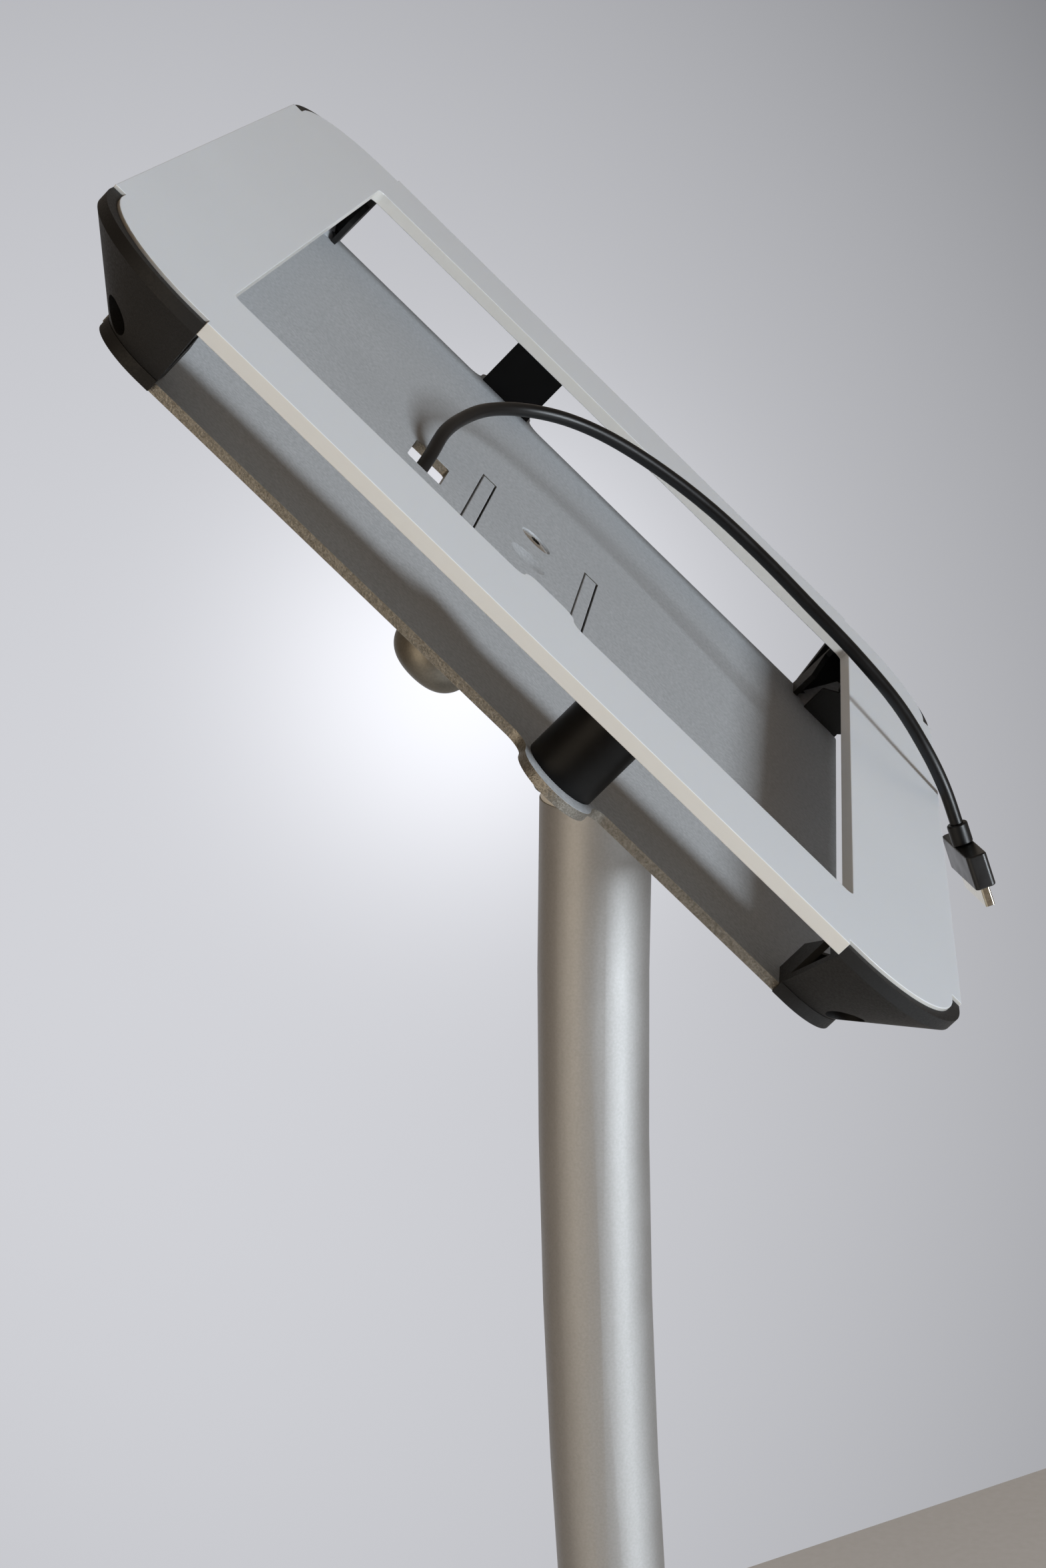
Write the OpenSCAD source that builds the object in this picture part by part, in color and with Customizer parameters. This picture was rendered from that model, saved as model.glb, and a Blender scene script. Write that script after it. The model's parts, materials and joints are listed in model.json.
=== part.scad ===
// Adjustable tablet floor stand: a bowed round post on a flat base carries a head that tilts and swivels.
// The head is an open frame: a face plate with a window, held over a sheet tray by four corner
// mouldings and two standoffs, with room for a tablet between them.
// Head pieces are drawn in head coordinates: x runs down the slope, y along the tablet's long side
// and z out of the face plate's front, with zero at the middle of that front face.

/* [Head] */
// Slope of the head at rest, from horizontal
rest_tilt = 44; // [20:1:70]
// Height of the window's middle above the floor
head_height = 1020; // [800:5:1200]
// Clear depth of the tablet pocket between the face plate and the tray
pocket_depth = 15.7; // [12:0.1:22]

/* [Face plate] */
// Length of the face plate along the tablet's long side
plate_len = 276; // [262:1:320]
// Width of the face plate down the slope
plate_wid = 222; // [212:1:260]
// Thickness of the face plate
plate_t = 3; // [2:0.5:5]
// Outer radius of the head's corners
plate_corner_r = 28; // [26:0.5:34]
// Length of the window
window_len = 211; // [180:1:220]
// Width of the window
window_wid = 163; // [130:1:168]
// Radius of the window's corners
window_corner_r = 2; // [1:0.5:10]
// Width of the flat end of the tab in the window's edge
tab_w = 7; // [4:0.5:20]
// Reach of the tab into the window
tab_reach = 5.5; // [3:0.5:7]
// Radius that rounds the tab and blends it into the edge
tab_r = 3; // [1.5:0.5:3]

/* [Tray] */
// Distance of each end of the tray from the face plate's end
tray_inset_len = 17; // [15:0.5:20]
// Distance of each side of the tray from the face plate's side
tray_inset_wid = 15; // [13.5:0.5:17]
// Thickness of the tray's sheet
tray_t = 2; // [1.5:0.1:3]
// Distance of each ear from the middle line
ear_offset = 23; // [15:1:50]
// Width of each ear
ear_w = 17; // [16:0.5:24]
// Reach of each ear past the tray's edge
ear_reach = 13.7; // [12:0.1:15]
// Radius of the tray's corners
tray_corner_r = 11.5; // [10:0.1:12]
// Radius of the fillet where an ear meets the edge
ear_fillet_r = 4; // [1:0.5:5]
// Length of the two slots for the swivel plate's ribs
slot_len = 68; // [40:1:70]
// Width of the two slots
slot_w = 4.3; // [2:0.1:6]
// Distance of each slot from the middle line
slot_offset = 16.2; // [14:0.1:17]
// Length of the cable hole
cable_hole_len = 18.3; // [14:0.1:24]
// Width of the cable hole
cable_hole_wid = 9.9; // [6:0.1:12]
// Distance of the cable hole from the middle
cable_hole_offset = 30.4; // [28:0.1:36]
// Radius of the dish in the tray's middle
dish_r = 5; // [3:0.5:6]
// Depth of the dish
dish_depth = 1; // [0.5:0.1:1.3]
// Width of the bent-up tongue at each corner
tongue_w = 8; // [6:0.5:8.5]

/* [Corner mouldings] */
// Thickness of the rim round the face plate's corner
rim_t = 2.6; // [1.5:0.1:3]
// Step from the face plate's front down to the rim
rim_step = 0.7; // [0.1:0.1:1]
// Thickness of the sloping skin, square to it
skin_t = 2; // [1.5:0.1:2.5]
// Thickness of the lower rim round the tray's corner
lower_rim_t = 1.2; // [1:0.1:1.5]
// Height of the lower rim
lower_rim_h = 2.6; // [2.5:0.1:4]
// Straight run of a moulding past its quarter turn
corner_run = 2.5; // [1.5:0.5:5]
// Thickness of the end ribs
rib_t = 1.4; // [1:0.1:1.5]
// Diameter of the screw well in the skin
well_d = 7.6; // [7.4:0.1:8.4]

/* [Standoffs] */
// Width of a standoff
standoff_w = 15.4; // [12:0.1:15.8]
// Distance of a standoff's flat back from the tray's edge
standoff_back = 1.4; // [0.5:0.1:3]

/* [Swivel] */
// Thickness of the swivel plate
swivel_plate_t = 6; // [5.5:0.1:6.4]
// Length of the swivel plate
swivel_plate_len = 78; // [76:1:80]
// Width of the swivel plate
swivel_plate_wid = 42; // [40:1:44]
// Spacing of the two screws that hold the swivel plate
swivel_screw_pitch = 41.2; // [36:0.1:60]
// Diameter of the swivel bolt
swivel_bolt_d = 8; // [6:1:8]
// Thickness of the sliding washer
slide_washer_t = 1; // [0.6:0.1:1.2]
// Radius of the arm's hub
hub_r = 17; // [15:0.5:20]
// Thickness of the arm's hub
hub_t = 9; // [8:0.5:11]
// Radius of the domed cap
cap_r = 10; // [9:0.1:12]
// Height of the domed cap
cap_h = 16.5; // [14:0.5:20]

/* [Tilt hinge] */
// Distance of the tilt axis from the swivel axis, down the slope
axis_reach = 39.2; // [36:0.1:46]
// Gap between the swivel plate's back and the hinge barrel
hinge_gap = 1.2; // [0.6:0.1:4]
// Radius of the hinge barrel
barrel_r = 9; // [8.6:0.1:10]
// Width of the hinge barrel
barrel_w = 26; // [24:0.5:34]
// Thickness of the fixed lug in the middle of the barrel
lug_t = 9.6; // [8:0.1:12]
// Diameter of the tilt bolt
tilt_bolt_d = 8; // [6:1:8]
// Thickness of each friction washer
friction_washer_t = 0.6; // [0.4:0.1:1]
// Radius of the hinge plug's flange over the post's end
plug_flange_r = 14; // [13.4:0.1:15]
// Thickness of the hinge plug's flange
plug_flange_t = 2; // [1.5:0.1:4]
// Height of the pale ring between the flange and the post's end
end_ring_h = 2.6; // [1:0.1:5]

/* [Post] */
// Outer diameter of the post
post_d = 25.4; // [24:0.1:26]
// Wall of the post
post_wall = 2; // [1.5:0.1:3]
// Radius of the post's bow
bow_r = 2200; // [1800:50:4000]
// Drop from the tilt axis to the place where the post stands upright
bow_drop = 55; // [20:1:100]
// Length of the plug in the post's top
post_plug_len = 45; // [30:1:60]

/* [Base] */
// Length of each side of the base plate
base_side = 380; // [340:5:450]
// Thickness of the base plate
base_t = 8; // [6:0.5:12]
// Radius of the base plate's corners
base_corner_r = 40; // [10:5:80]
// Distance of the post's foot from the base plate's front side
post_inset = 45.51; // [42:0.01:80]
// Diameter of the collar's flange
flange_d = 76; // [72:1:84]
// Thickness of the collar's flange
flange_t = 8; // [6:0.5:12]
// Height of the collar's sleeve above the flange
sleeve_h = 42; // [30:1:60]
// Wall of the collar's sleeve
sleeve_wall = 3.6; // [3:0.1:5]
// Diameter of the circle of the flange's screws
flange_screw_pcd = 58; // [56:1:60]
// Diameter of a foot pad
foot_d = 30; // [20:1:40]
// Thickness of a foot pad
foot_t = 3; // [2:0.5:6]
// Distance of each foot pad's middle from the base plate's sides
foot_inset = 30; // [25:1:60]
// Diameter of the holes for bolting the base to the floor
floor_hole_d = 9; // [7:0.5:12]
// Distance of each floor hole from the base plate's sides
floor_hole_inset = 65; // [60:1:90]

/* [Cable] */
// Diameter of the cable
cable_d = 3.2; // [2.8:0.1:3.4]
// Diameter of the boot on the cable
boot_d = 5; // [4.6:0.1:5]
// Length of the boot
boot_len = 5.3; // [3:0.1:8]
// Width of the dock plug
plug_wid = 26; // [24:0.5:30]
// Length of the dock plug's housing
plug_len = 8.3; // [7:0.1:16]
// Thickness of the dock plug's housing
plug_t = 5; // [5:0.1:7]
// Width of the plug's metal tip
tip_wid = 21.5; // [18:0.5:22.5]
// Reach of the plug's metal tip
tip_len = 5; // [4:0.1:7]
// Thickness of the plug's metal tip
tip_t = 2.2; // [2:0.1:3]

/* [Hidden] */
// Clearances
bore_gap = 0.06;
soft_gap = 0.3;
free_gap = 0.4;
eps = 0.01;
// Run of a cutting solid past the faces that it cuts
over = 1;

// Heights in the head, measured from the face plate's front
plate_back = -plate_t;
tray_top = plate_back - pocket_depth;
tray_back = tray_top - tray_t;
swivel_plate_back = tray_back - swivel_plate_t;
hub_top = swivel_plate_back - slide_washer_t;
hub_back = hub_top - hub_t;
cup_washer_h = 1;
washer_in = 1;
cap_top = hub_back - 2 * cup_washer_h;
cap_end = cap_top - cap_h;

// Corner moulding, in its own plane: radius from the corner's centre and height in the head
corner_x = plate_wid / 2 - plate_corner_r;
corner_y = plate_len / 2 - plate_corner_r;
rim_top = -rim_step;
rim_lap = 0.2;
rim_low = plate_back - rim_lap;
lower_rim_low = tray_back + rim_lap;
lower_rim_top = lower_rim_low + lower_rim_h;
tray_len = plate_len - 2 * tray_inset_len;
tray_wid = plate_wid - 2 * tray_inset_wid;
tray_seat_reach = tray_len / 2 - corner_y;
tray_neck_wid = 2 * (corner_x + tray_seat_reach);
tray_end_len = 2 * (corner_y - corner_run - free_gap);
tray_end_r = 1;
tray_seat_r = tray_seat_reach + soft_gap;
lower_rim_r = tray_seat_r + lower_rim_t;
lower_lip = 0.15;
skin_low_r = lower_rim_r - lower_lip;
skin_run = plate_corner_r - skin_low_r;
skin_drop = rim_low - lower_rim_top;
skin_len = sqrt(skin_run * skin_run + skin_drop * skin_drop);
skin_side = skin_t * skin_len / skin_drop;
rim_inner_r = plate_corner_r - rim_t;
ledge_t = 2.2;
ledge_w = 5.4;
floor_t = 1.6;
floor_r = 4;

// Screw at the corner, square to the skin
well_share = 0.785;
well_r = plate_corner_r - well_share * skin_run;
well_z = rim_low - well_share * skin_drop;
skin_angle = atan2(skin_drop, skin_run);
well_sink = 1.4;
well_depth = skin_t + well_sink;
boss_h = 2.6;
boss_reach = skin_t + boss_h;
boss_d = 11;
boss_lap = 0.6;
boss_sunk = 1;
tongue_hole_run = 20;
corner_screw_d = 4;
corner_screw_len = 5.5;
corner_head_d = 7;
corner_head_h = 1.4;

// The tongue lies along the skin's slope, one boss behind it
tongue_rise = 4.5;
tongue_top = well_z + tongue_rise;

// Point at a depth behind the skin's outer face and at a height in the head
function behind_skin(depth, z) =
    [skin_low_r + (z - lower_rim_top) * skin_run / skin_drop - depth * skin_side / skin_t, z];

// End ribs of the moulding and the three-sided cavity in each
rib_foot_r = 1.5;
rib_heel_r = 8;
rib_knee_h = 6.7;
rib_knee_z = tray_top + rib_knee_h;
rib_top_r = 10;
rib_shoulder_drop = 4.2;
rib_shoulder_z = plate_back - rib_shoulder_drop;
cavity_r = 11.8;
cavity_low_z = lower_rim_top + (cavity_r - behind_skin(skin_t, lower_rim_top)[0]) * skin_drop / skin_run;

// Cable hole's corners
cable_hole_r = 1;

// Standoffs
standoff_y = tray_len / 2 + standoff_back;
standoff_screw_d = 4;
standoff_flat = 1.1;
standoff_screw_in = 3;
standoff_screw_y = standoff_y + standoff_screw_in;
standoff_screw_reach = 9;
standoff_csk_d = 7.6;

// Swivel
dish_sphere_r = (dish_r * dish_r + dish_depth * dish_depth) / (2 * dish_depth);
swivel_plate_corner_r = 6;
swivel_screw_d = 5;
swivel_rib_drop = 0.1;
rib_slot_gap = 0.4;
bolt_head_h = 3.4;
bolt_head_sunk = 0.1;
bolt_head_af = 13;
bolt_short = 5.5;
bolt_end = cap_end + bolt_short;
csk_d = 8.6;
csk_land = 0.2;
csk_sunk = 0.3;
csk_key_af = 2.5;
csk_key_h = 1;
csk_slope = (csk_d - swivel_screw_d - free_gap) / (tray_t - csk_land);
csk_head_h = tray_t - csk_land - csk_sunk;
csk_head_d1 = swivel_screw_d + free_gap / 2;
csk_head_d2 = csk_head_d1 + csk_slope * csk_head_h;
csk_dome_h = 0.25;
csk_dome_in = 0.3;
csk_dome_lap = 0.05;
csk_dome_base_r = csk_head_d2 / 2 - csk_dome_in;
csk_dome_r = (csk_dome_base_r * csk_dome_base_r + csk_dome_h * csk_dome_h) / (2 * csk_dome_h);
standoff_csk_slope = (standoff_csk_d - standoff_screw_d - free_gap) / (tray_t - csk_land);
standoff_head_d2 = standoff_screw_d + free_gap / 2;
standoff_head_d1 = standoff_head_d2 + standoff_csk_slope * csk_head_h;
cup_washer_r = cap_r - washer_in;
cap_round_share = 0.65;
cap_round_r = cap_round_share * cap_r;
swivel_screw_short = 0.6;
swivel_screw_end = swivel_plate_back + swivel_screw_short;

// Tilt hinge
axis_depth = barrel_r + hinge_gap - swivel_plate_back;
axis_z = -axis_depth;
cheek_in = lug_t / 2 + friction_washer_t;
cope_gap = 0.3;
web_drop = 2.5;
web_top = hub_top - web_drop;
tilt_head_d = 13;
tilt_head_h = 3;
tilt_pocket_h = 3.3;
tilt_key_af = 6;
tilt_key_h = 2;
nut_slot_w = 1.6;
nut_slot_h = 1.2;
tilt_seat = barrel_w / 2 - tilt_pocket_h;
flange_top_drop = barrel_r + cope_gap;
ring_top_drop = flange_top_drop + plug_flange_t;
post_top_drop = ring_top_drop + end_ring_h;

// Post, in the stand's own frame; the head stands where the bow brings the tilt axis
base_top = foot_t + base_t;
post_foot_x = base_side / 2 - post_inset;
axis_world_z = head_height - axis_reach * sin(rest_tilt) - axis_depth * cos(rest_tilt);
bow_centre_z = axis_world_z - bow_drop;
bow_top_angle = asin(bow_drop / bow_r);
bow_low_angle = -asin((bow_centre_z - base_top) / bow_r);
bow_centre_x = post_foot_x + bow_r * cos(bow_low_angle);
axis_world_x = bow_centre_x - bow_r * cos(bow_top_angle);
head_x = axis_world_x - axis_reach * cos(rest_tilt) + axis_depth * sin(rest_tilt);
plug_low_angle = bow_top_angle - (post_plug_len + post_top_drop) / bow_r * 180 / PI;
plug_high_angle = bow_top_angle - (flange_top_drop + plug_flange_t / 2) / bow_r * 180 / PI;
bore_r = post_d / 2 - post_wall;
sleeve_r = post_d / 2 + sleeve_wall;
flange_screw_d = 6;
flange_head_d = 10.5;
flange_head_h = 3.3;
flange_key_af = 4;
flange_key_h = 2;
flange_screw_short = 1;
set_screw_d = 5;
foot_pitch = base_side - 2 * foot_inset;
floor_hole_pitch = base_side - 2 * floor_hole_inset;
set_screw_share = 0.62;
set_screw_sunk = 0.2;
set_screw_key_af = 2.5;
set_screw_web = 1.2;
set_screw_h = base_top + flange_t + sleeve_h * set_screw_share;
set_screw_x = bow_centre_x - sqrt(bow_r * bow_r - pow(bow_centre_z - set_screw_h, 2));
sleeve_top_angle = -asin((bow_centre_z - base_top - flange_t - sleeve_h) / bow_r);

// Cable route in head coordinates, from the clip's face to the boot
cable_route = [
    [-30.5, -16, -23],
    [-30.5, -12, -23],
    [-30.5, -5, -21.5],
    [-31, 2, -18],
    [-32, 12, -14],
    [-31, 22, -11],
    [-28, 33, -7.5],
    [-22, 42.5, -3.5],
    [-13, 49, 1],
    [-2, 53, 4.5],
    [12, 56, 7],
    [27, 57.5, 8.5],
    [43, 57, 9],
    [59, 54.5, 9],
    [74, 51.5, 9],
    [89, 48.5, 8],
    [101, 45.5, 5.5],
    [110.5, 44.5, 2.3],
    [119, 44.5, -1.8]
];
cable_sides = 8;
cable_steps = 2;
clip_len = 12;
clip_wid = 12;
clip_drop = 2.6;
plug_pitch = 27;
plug_corner_r = 1.2;
tip_corner_r = 0.5;
plug_roll = 12;

// Shared forms

module at_head() {
    translate([head_x, 0, head_height])
        rotate([0, rest_tilt, 0])
            children();
}

module rounded_rect(x, y, r) {
    square([x - 2 * r, y], center = true);
    square([x, y - 2 * r], center = true);
    for (i = [-1, 1], j = [-1, 1])
        translate([i * (x / 2 - r), j * (y / 2 - r)])
            circle(r = r, $fn = 64);
}

// Fillet between two edges that meet at the origin, filling the quarter of positive x and y
module fillet_2d(r) {
    difference() {
        translate([-eps, -eps])
            square(r + eps);
        translate([r, r])
            circle(r = r, $fn = 48);
    }
}

module ring_along_y(r, y0, y1) {
    translate([0, y0, 0])
        rotate([-90, 0, 0])
            cylinder(r = r, h = y1 - y0, $fn = 72);
}

// A length of the post's bow, from one angle of the bow to another
module bow(r, from, to) {
    translate([bow_centre_x, 0, bow_centre_z])
        rotate([90, 0, 0])
            rotate([0, 0, 180 - to])
                rotate_extrude(angle = to - from, $fn = 360)
                    translate([bow_r, 0])
                        circle(r = r, $fn = 64);
}

// Face plate

module tab_2d() {
    half = tab_w / 2 + tab_r;
    translate([-tab_w / 2, -eps])
        square([tab_w, tab_reach + eps]);
    translate([-half, -eps])
        square([2 * half, tab_reach - tab_r + eps]);
    for (i = [0, 1])
        mirror([i, 0]) {
            translate([tab_w / 2, tab_reach - tab_r])
                circle(r = tab_r, $fn = 48);
            translate([half, 0])
                fillet_2d(tab_reach - tab_r);
        }
}

module corner_cut_2d() {
    for (i = [0, 1], j = [0, 1])
        mirror([i, 0])
            mirror([0, j])
                difference() {
                    translate([corner_x - corner_run, corner_y - corner_run])
                        square(plate_corner_r + corner_run + 1);
                    translate([corner_x, corner_y])
                        circle(r = rim_inner_r, $fn = 96);
                    translate([0, corner_y - corner_run - 1])
                        square([corner_x, rim_inner_r + corner_run + 1]);
                    translate([corner_x - corner_run - 1, 0])
                        square([rim_inner_r + corner_run + 1, corner_y]);
                }
}

module face_plate() {
    color([0.86, 0.88, 0.9])
        at_head()
            translate([0, 0, plate_back])
                linear_extrude(plate_t)
                    difference() {
                        square([plate_wid, plate_len], center = true);
                        corner_cut_2d();
                        difference() {
                            rounded_rect(window_wid, window_len, window_corner_r);
                            translate([0, -window_len / 2])
                                tab_2d();
                        }
                    }
}

// Tray

module ear_2d() {
    half = ear_w / 2;
    edge = tray_len / 2;
    tip_y = edge + ear_reach - half;
    translate([-half, edge - 1])
        square([ear_w, tip_y - edge + 1]);
    translate([0, tip_y])
        circle(r = half, $fn = 72);
    for (i = [0, 1])
        mirror([i, 0])
            translate([half, edge])
                fillet_2d(ear_fillet_r);
}

module tray_2d() {
    difference() {
        union() {
            rounded_rect(tray_neck_wid, tray_len, tray_corner_r);
            rounded_rect(tray_wid, tray_end_len, tray_end_r);
            for (a = [0, 180])
                rotate(a)
                    translate([-ear_offset, 0])
                        ear_2d();
        }
        for (i = [-1, 1])
            translate([i * slot_offset, 0])
                square([slot_w, slot_len], center = true);
        translate([-cable_hole_offset, 0])
            rounded_rect(cable_hole_wid, cable_hole_len, cable_hole_r);
        for (i = [0, 1], j = [0, 1])
            mirror([i, 0])
                mirror([0, j])
                    translate([corner_x, corner_y])
                        rotate(45)
                            translate([behind_skin(boss_reach, tray_top)[0], -tongue_w / 2 - soft_gap])
                                square([plate_corner_r, tongue_w + 2 * soft_gap]);
    }
}

module corner_tongue() {
    rotate([90, 0, 0])
        linear_extrude(tongue_w, center = true)
            polygon([
                behind_skin(boss_reach, tray_back),
                behind_skin(boss_reach, tongue_top),
                behind_skin(boss_reach + tray_t, tongue_top),
                behind_skin(boss_reach + tray_t, tray_back)
            ]);
}

module at_corner(i, j) {
    mirror([i, 0, 0])
        mirror([0, j, 0])
            translate([corner_x, corner_y, 0])
                children();
}

// Local frame of the corner's screw: z points out of the skin
module at_well() {
    rotate([0, 0, 45])
        translate([well_r, 0, well_z])
            rotate([0, 180 - skin_angle, 0])
                children();
}

module tray() {
    color([0.6, 0.63, 0.65])
        at_head()
            difference() {
                union() {
                    translate([0, 0, tray_back])
                        linear_extrude(tray_t)
                            tray_2d();
                    for (i = [0, 1], j = [0, 1])
                        at_corner(i, j)
                            rotate([0, 0, 45])
                                corner_tongue();
                }
                for (i = [0, 1], j = [0, 1])
                    at_corner(i, j)
                        at_well()
                            translate([0, 0, -tongue_hole_run])
                                cylinder(d = corner_screw_d + bore_gap, h = tongue_hole_run, $fn = 32);
                for (a = [0, 180])
                    rotate(a)
                        translate([-ear_offset, standoff_screw_y, tray_back]) {
                            translate([0, 0, -over])
                                cylinder(d = standoff_screw_d + free_gap, h = tray_t + 2 * over, $fn = 32);
                            cylinder(d1 = standoff_csk_d, d2 = standoff_screw_d + free_gap, h = tray_t - csk_land, $fn = 48);
                        }
                for (j = [-1, 1])
                    translate([0, j * swivel_screw_pitch / 2, 0]) {
                        translate([0, 0, tray_back - over])
                            cylinder(d = swivel_screw_d + free_gap, h = tray_t + 2 * over, $fn = 32);
                        translate([0, 0, tray_back + csk_land])
                            cylinder(d1 = swivel_screw_d + free_gap, d2 = csk_d, h = tray_t - csk_land, $fn = 48);
                    }
                translate([0, 0, tray_top + dish_sphere_r - dish_depth])
                    sphere(r = dish_sphere_r, $fn = 96);
            }
}

// Corner mouldings

module corner_section_2d() {
    polygon([
        [plate_corner_r, rim_top],
        [plate_corner_r, rim_low],
        [skin_low_r, lower_rim_top],
        [lower_rim_r, lower_rim_top],
        [lower_rim_r, lower_rim_low],
        [tray_seat_r, lower_rim_low],
        [tray_seat_r, tray_top],
        [floor_r, tray_top],
        [floor_r, tray_top + floor_t],
        behind_skin(skin_t, tray_top + floor_t),
        behind_skin(skin_t, plate_back - ledge_t),
        [rim_inner_r - ledge_w, plate_back - ledge_t],
        [rim_inner_r - ledge_w, plate_back],
        [rim_inner_r + bore_gap, plate_back],
        [rim_inner_r + bore_gap, rim_top]
    ]);
}

module corner_rib_2d() {
    difference() {
        polygon([
            [rib_foot_r, tray_top],
            [rib_foot_r, rib_knee_z],
            [rib_top_r, rib_shoulder_z],
            [rib_top_r, plate_back],
            [rim_inner_r, plate_back],
            behind_skin(skin_t / 2, rim_low),
            behind_skin(skin_t / 2, lower_rim_top),
            [rib_heel_r, tray_top]
        ]);
        polygon([
            [cavity_r, plate_back - ledge_t],
            behind_skin(skin_t, plate_back - ledge_t),
            [cavity_r, cavity_low_z]
        ]);
    }
}

// Stands a section up in the plane of each end and sweeps it toward the corner
module at_both_ends(width) {
    translate([0, width - corner_run, 0])
        rotate([90, 0, 0])
            linear_extrude(width)
                children();
    translate([-corner_run, 0, 0])
        rotate([90, 0, 90])
            linear_extrude(width)
                children();
}

module tongue_room() {
    rotate([90, 0, 0])
        linear_extrude(tongue_w + free_gap, center = true)
            polygon([
                behind_skin(boss_reach, tray_top - over),
                behind_skin(boss_reach, tongue_top + soft_gap),
                behind_skin(boss_reach + tray_t + soft_gap, tongue_top + soft_gap),
                behind_skin(boss_reach + tray_t + soft_gap, tray_top - over)
            ]);
}

module corner_moulding() {
    difference() {
        union() {
            rotate_extrude(angle = 90, $fn = 96)
                corner_section_2d();
            at_both_ends(corner_run)
                corner_section_2d();
            at_both_ends(rib_t)
                corner_rib_2d();
            at_well()
                translate([0, 0, -boss_reach - boss_lap])
                    cylinder(d = boss_d, h = boss_reach + boss_lap - boss_sunk, $fn = 48);
        }
        at_well() {
            translate([0, 0, -well_depth])
                cylinder(d = well_d, h = well_depth + well_d, $fn = 48);
            translate([0, 0, -boss_reach - corner_screw_d])
                cylinder(d = corner_screw_d + free_gap, h = boss_reach + corner_screw_d, $fn = 32);
        }
        rotate([0, 0, 45])
            tongue_room();
    }
}

module corner_piece(i, j) {
    color([0.12, 0.12, 0.12])
        at_head()
            at_corner(i, j)
                corner_moulding();
}

module corner_near_bottom() {
    corner_piece(0, 1);
}

module corner_near_top() {
    corner_piece(1, 1);
}

module corner_far_bottom() {
    corner_piece(0, 0);
}

module corner_far_top() {
    corner_piece(1, 0);
}

module corner_screws() {
    color([0.1, 0.1, 0.1])
        at_head()
            for (i = [0, 1], j = [0, 1])
                at_corner(i, j)
                    at_well() {
                        translate([0, 0, -well_depth])
                            cylinder(d = corner_head_d, h = corner_head_h, $fn = 48);
                        translate([0, 0, -well_depth - corner_screw_len])
                            cylinder(d = corner_screw_d, h = corner_screw_len, $fn = 32);
                    }
}

// Standoffs

module standoff_2d() {
    difference() {
        circle(d = standoff_w, $fn = 72);
        translate([-standoff_w, -standoff_w])
            square([2 * standoff_w, standoff_w]);
    }
    translate([-standoff_w / 2, -standoff_flat])
        square([standoff_w, standoff_flat + eps]);
}

module standoff_piece(a) {
    color([0.06, 0.06, 0.06])
        at_head()
            rotate(a)
                difference() {
                    translate([-ear_offset, standoff_y, tray_top])
                        linear_extrude(pocket_depth)
                            standoff_2d();
                    translate([-ear_offset, standoff_screw_y, tray_back])
                        cylinder(d = standoff_screw_d + bore_gap, h = standoff_screw_reach + over, $fn = 32);
                }
}

module standoff_far() {
    standoff_piece(0);
}

module standoff_near() {
    standoff_piece(180);
}

module standoff_screws() {
    color([0.1, 0.1, 0.1])
        at_head()
            for (a = [0, 180])
                rotate(a)
                    translate([-ear_offset, standoff_screw_y, tray_back + csk_sunk]) {
                        cylinder(d = standoff_screw_d, h = standoff_screw_reach - csk_sunk, $fn = 32);
                        cylinder(d1 = standoff_head_d1, d2 = standoff_head_d2, h = csk_head_h, $fn = 48);
                    }
}

// Swivel

function hexagon(across) = [for (k = [0:5]) across / sqrt(3) * [cos(60 * k), sin(60 * k)]];

module swivel_plate() {
    color([0.6, 0.63, 0.65])
        at_head()
            difference() {
                union() {
                    translate([0, 0, swivel_plate_back])
                        linear_extrude(swivel_plate_t)
                            rounded_rect(swivel_plate_wid, swivel_plate_len, swivel_plate_corner_r);
                    for (i = [-1, 1])
                        translate([i * slot_offset, 0, tray_back - over])
                            linear_extrude(tray_t + over - swivel_rib_drop)
                                square([slot_w - 2 * rib_slot_gap, slot_len - 2 * rib_slot_gap], center = true);
                }
                translate([0, 0, tray_back - bolt_head_h - bolt_head_sunk])
                    linear_extrude(bolt_head_h + over)
                        polygon(hexagon(bolt_head_af + 2 * bolt_head_sunk));
                translate([0, 0, swivel_plate_back - over])
                    cylinder(d = swivel_bolt_d + 2 * bore_gap, h = swivel_plate_t, $fn = 48);
                for (j = [-1, 1])
                    translate([0, j * swivel_screw_pitch / 2, swivel_plate_back - over])
                        cylinder(d = swivel_screw_d + bore_gap, h = swivel_plate_t + 2 * over, $fn = 32);
            }
}

module swivel_plate_screws() {
    color([0.75, 0.75, 0.74])
        at_head()
            for (j = [-1, 1])
                translate([0, j * swivel_screw_pitch / 2, 0])
                    difference() {
                        union() {
                            translate([0, 0, swivel_screw_end])
                                cylinder(d = swivel_screw_d, h = tray_back + csk_land - swivel_screw_end, $fn = 32);
                            translate([0, 0, tray_back + csk_land])
                                cylinder(d1 = csk_head_d1, d2 = csk_head_d2, h = csk_head_h, $fn = 48);
                            intersection() {
                                translate([0, 0, tray_top - csk_sunk + csk_dome_h - csk_dome_r])
                                    sphere(r = csk_dome_r, $fn = 96);
                                translate([0, 0, tray_top - csk_sunk - csk_dome_lap])
                                    cylinder(r = csk_d, h = csk_dome_h + 2 * csk_dome_lap, $fn = 48);
                            }
                        }
                        translate([0, 0, tray_top - csk_sunk - csk_key_h])
                            linear_extrude(csk_key_h + over)
                                polygon(hexagon(csk_key_af));
                    }
}

module swivel_bolt() {
    color([0.5, 0.5, 0.5])
        at_head() {
            translate([0, 0, tray_back - bolt_head_h - bolt_head_sunk])
                linear_extrude(bolt_head_h)
                    polygon(hexagon(bolt_head_af));
            translate([0, 0, bolt_end])
                cylinder(d = swivel_bolt_d, h = tray_back - bolt_head_h - bolt_end, $fn = 48);
        }
}

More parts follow.
